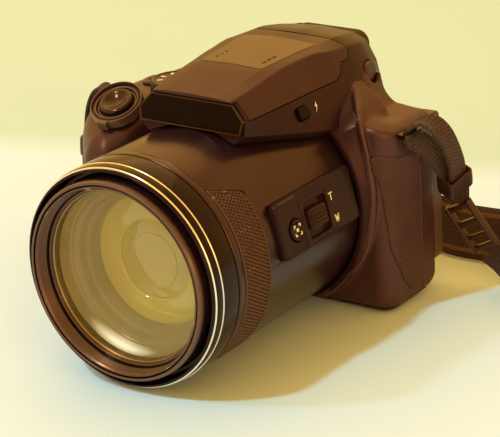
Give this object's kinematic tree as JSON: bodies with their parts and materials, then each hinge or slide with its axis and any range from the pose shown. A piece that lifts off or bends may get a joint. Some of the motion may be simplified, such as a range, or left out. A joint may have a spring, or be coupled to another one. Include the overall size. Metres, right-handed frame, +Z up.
{
  "type": "bridge camera",
  "caption": "Bridge camera with a two-stage telescoping zoom lens, pop-up flash, eye-level finder, tilting monitor, hand grip, dials and buttons, and a neck strap lying behind it",
  "frame": {"origin": "Mouth of the tripod socket in the base, straight under the lens axis; the base and the strap lie on z = 0.", "axes": "-Y is where the lens looks, +Y is the back with the monitor, +X is the camera's left side with the zoom control on the barrel, -X is the hand grip, +Z is up."},
  "size_m": [0.2591, 0.2555, 0.0986],
  "materials": {
    "body_plastic": "fine-grained moulded black",
    "dark_plastic": "satin black",
    "rubber": "textured soft black",
    "gloss_black": "polished black",
    "bronze": "satin warm metal",
    "steel": "plain",
    "glass": "coated, green-gold reflection",
    "mirror": "polished",
    "board": "circuit board",
    "pack": "plain",
    "red_plastic": "satin",
    "strap": "woven black with ochre border lines"
  },
  "bodies": {
    "body": {"front_cover": "body_plastic", "rear_cover": "body_plastic", "top_cover": "body_plastic", "lens_barrel": "body_plastic", "bottom_cover": "dark_plastic", "side_control_panel": "dark_plastic", "strap_hardware": "dark_plastic", "grip_rubber": "rubber", "left_rubber_panel": "rubber", "thumb_rest": "rubber", "barrel_grip_pad": "rubber", "eyecup": "rubber", "badge_plate": "gloss_black", "barrel_front_ring": "gloss_black", "trim_ring_thin": "bronze", "trim_ring_bright": "bronze", "tripod_socket": "steel", "strap_lugs": "steel", "housing_screws": "steel", "flash_hinge_pin": "steel", "lcd_hinge_pins": "steel", "connector_sockets": "steel", "eyepiece_lens": "glass", "main_board": "board", "image_sensor": "board", "battery": "pack", "memory_card": "pack", "evf_display": "pack", "strap_webbing_left": "strap", "strap_webbing_right": "strap", "neck_strap": "strap"},
    "lens_stage_1": {"zoom_tube_outer": "dark_plastic"},
    "lens_stage_2": {"zoom_tube_inner": "body_plastic", "filter_ring": "body_plastic", "front_element": "glass", "second_group": "glass", "iris_unit": "dark_plastic"},
    "flash": {"flash_lid": "body_plastic", "flash_reflector": "mirror", "flash_window": "glass"},
    "monitor": {"lcd_frame": "body_plastic", "lcd_glass": "gloss_black"},
    "flash_button": {"flash_button": "body_plastic"},
    "snapback_button": {"snapback_button": "gloss_black"},
    "side_zoom_lever": {"side_zoom_lever": "dark_plastic"},
    "mode_dial": {"mode_dial": "body_plastic"},
    "command_dial": {"command_dial": "body_plastic"},
    "shutter_button": {"shutter_button": "dark_plastic"},
    "zoom_lever": {"zoom_lever": "body_plastic"},
    "power_button": {"power_button": "dark_plastic"},
    "multi_selector": {"multi_selector": "dark_plastic"},
    "ok_button": {"ok_button": "body_plastic"},
    "movie_button": {"movie_button": "red_plastic"},
    "monitor_button": {"monitor_button": "dark_plastic"},
    "playback_button": {"playback_button": "dark_plastic"},
    "menu_button": {"menu_button": "dark_plastic"},
    "delete_button": {"delete_button": "dark_plastic"},
    "diopter_dial": {"diopter_dial": "dark_plastic"},
    "battery_door": {"battery_door": "dark_plastic"},
    "connector_cover": {"connector_cover": "body_plastic"}
  },
  "joints": [
    {"name": "lens_extend_1", "type": "slide", "parent": "body", "child": "lens_stage_1", "axis": [0, -1, 0], "range_m": [0, 0.042]},
    {"name": "lens_extend_2", "type": "slide", "parent": "lens_stage_1", "child": "lens_stage_2", "axis": [0, -1, 0], "range_m": [0, 0.042]},
    {"name": "flash_hinge", "type": "hinge", "parent": "body", "child": "flash", "pos_m": [0, -0.0024, 0.0949], "axis": [-1, 0, 0], "range_deg": [0, 40]},
    {"name": "monitor_hinge", "type": "hinge", "parent": "body", "child": "monitor", "pos_m": [0.00915, 0.0192, 0.066], "axis": [1, 0, 0], "range_deg": [0, 85]},
    {"name": "mode_dial_turn", "type": "hinge", "parent": "body", "child": "mode_dial", "pos_m": [-0.0458, -0.0115, 0.074], "axis": [0, 0, 1], "continuous": true},
    {"name": "command_dial_turn", "type": "hinge", "parent": "body", "child": "command_dial", "pos_m": [-0.058, 0.0135, 0.069], "axis": [0, 0, 1], "continuous": true},
    {"name": "selector_turn", "type": "hinge", "parent": "body", "child": "multi_selector", "pos_m": [-0.056, 0.0206, 0.036], "axis": [0, 1, 0], "continuous": true},
    {"name": "zoom_lever_turn", "type": "hinge", "parent": "body", "child": "zoom_lever", "pos_m": [-0.0615, -0.0279, 0.06715], "axis": [0, -0.4368, 0.8996], "range_deg": [-14, 14], "stiffness_Nm_per_rad": 0.12},
    {"name": "diopter_turn", "type": "hinge", "parent": "body", "child": "diopter_dial", "pos_m": [0.0252, 0.0115, 0.0835], "axis": [1, 0, 0], "range_deg": [-150, 150]},
    {"name": "battery_door_hinge", "type": "hinge", "parent": "body", "child": "battery_door", "pos_m": [-0.06315, 0.0036, 0.00115], "axis": [1, 0, 0], "range_deg": [0, 100]},
    {"name": "connector_cover_hinge", "type": "hinge", "parent": "body", "child": "connector_cover", "pos_m": [-0.0891, 0.0142, 0.03], "axis": [0, 0, -1], "range_deg": [0, 105]},
    {"name": "side_zoom_slide", "type": "slide", "parent": "body", "child": "side_zoom_lever", "axis": [-0.2419, 0, 0.9703], "range_m": [-0.0022, 0.0022], "stiffness_N_per_m": 300},
    {"name": "shutter_press", "type": "slide", "parent": "body", "child": "shutter_button", "axis": [0, 0.4368, -0.8996], "range_m": [0, 0.0012], "stiffness_N_per_m": 900},
    {"name": "power_press", "type": "slide", "parent": "body", "child": "power_button", "axis": [0, 0, -1], "range_m": [0, 0.0007], "stiffness_N_per_m": 900},
    {"name": "flash_button_press", "type": "slide", "parent": "body", "child": "flash_button", "axis": [-0.8942, 0, -0.4478], "range_m": [0, 0.0007], "stiffness_N_per_m": 900},
    {"name": "snapback_press", "type": "slide", "parent": "body", "child": "snapback_button", "axis": [-0.9703, 0, -0.2419], "range_m": [0, 0.0005], "stiffness_N_per_m": 900},
    {"name": "ok_press", "type": "slide", "parent": "body", "child": "ok_button", "axis": [0, -1, 0], "range_m": [0, 0.0008], "stiffness_N_per_m": 900},
    {"name": "movie_press", "type": "slide", "parent": "body", "child": "movie_button", "axis": [0, -1, 0], "range_m": [0, 0.0008], "stiffness_N_per_m": 900},
    {"name": "monitor_press", "type": "slide", "parent": "body", "child": "monitor_button", "axis": [0, -1, 0], "range_m": [0, 0.0008], "stiffness_N_per_m": 900},
    {"name": "playback_press", "type": "slide", "parent": "body", "child": "playback_button", "axis": [0, -1, 0], "range_m": [0, 0.0008], "stiffness_N_per_m": 900},
    {"name": "menu_press", "type": "slide", "parent": "body", "child": "menu_button", "axis": [0, -1, 0], "range_m": [0, 0.0008], "stiffness_N_per_m": 900},
    {"name": "delete_press", "type": "slide", "parent": "body", "child": "delete_button", "axis": [0, -1, 0], "range_m": [0, 0.0008], "stiffness_N_per_m": 900}
  ],
  "couplings": [
    {"joint": "lens_extend_2", "follows": "lens_extend_1", "ratio": 1}
  ]
}
